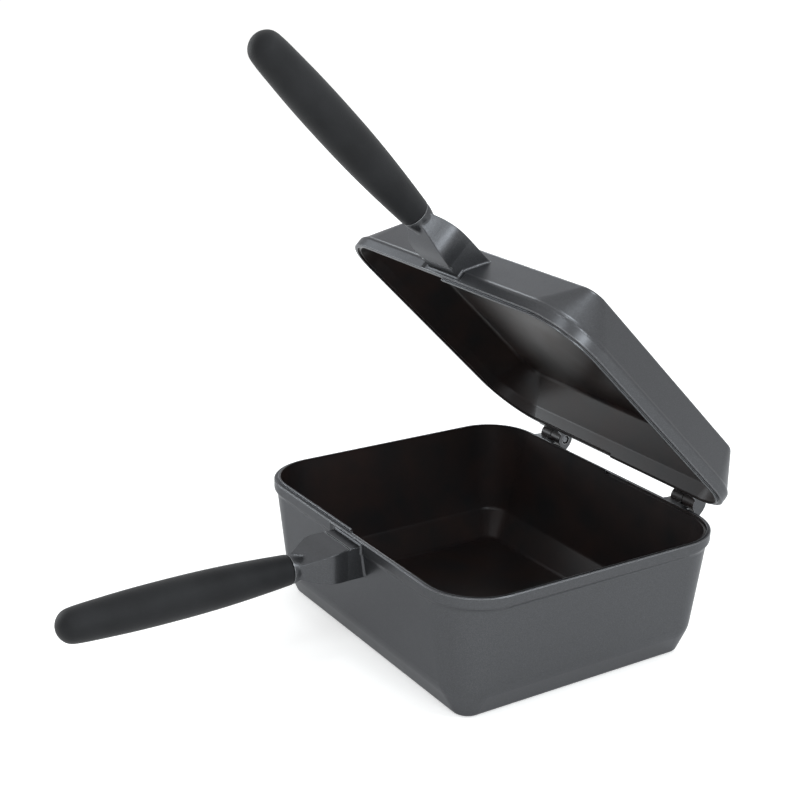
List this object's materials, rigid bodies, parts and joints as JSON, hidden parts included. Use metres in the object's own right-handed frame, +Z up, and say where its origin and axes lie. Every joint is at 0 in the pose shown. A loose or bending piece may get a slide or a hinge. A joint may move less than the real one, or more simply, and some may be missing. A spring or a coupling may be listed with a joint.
{
  "type": "double sided flip pan",
  "caption": "Double sided flip pan: a deep rectangular pan and a shallow lid pan hinged at the back, lapped rims, a straight round grip on each.",
  "frame": {"origin": "centre of the deep pan's flat bottom face, which rests on the hob", "axes": "+Z up, grips towards -Y, hinges towards +Y, +X to the right as seen from the grips"},
  "size_m": [0.24, 0.4088, 0.3822],
  "materials": {
    "coated_casting": "satin grey high-temperature coating outside, black non-stick inside",
    "grip_skin": "matt soft-touch silicone",
    "grip_core": "moulded nylon",
    "steel": "turned",
    "brass": "turned"
  },
  "bodies": {
    "deep_pan": {"base_pan": "coated_casting", "base_hinge_pin": "steel", "base_handle_stud": "steel", "base_thread_insert": "brass", "base_grip_core": "grip_core", "base_grip_sleeve": "grip_skin"},
    "lid_pan": {"lid_pan": "coated_casting", "lid_hinge_pin": "steel", "lid_handle_stud": "steel", "lid_thread_insert": "brass", "lid_grip_core": "grip_core", "lid_grip_sleeve": "grip_skin"}
  },
  "joints": [
    {"name": "lid_hinge", "type": "hinge", "parent": "deep_pan", "child": "lid_pan", "pos_m": [0, 0.1141, 0.08465], "axis": [-1, 0, 0], "range_deg": [-44.5, 60.5]}
  ]
}
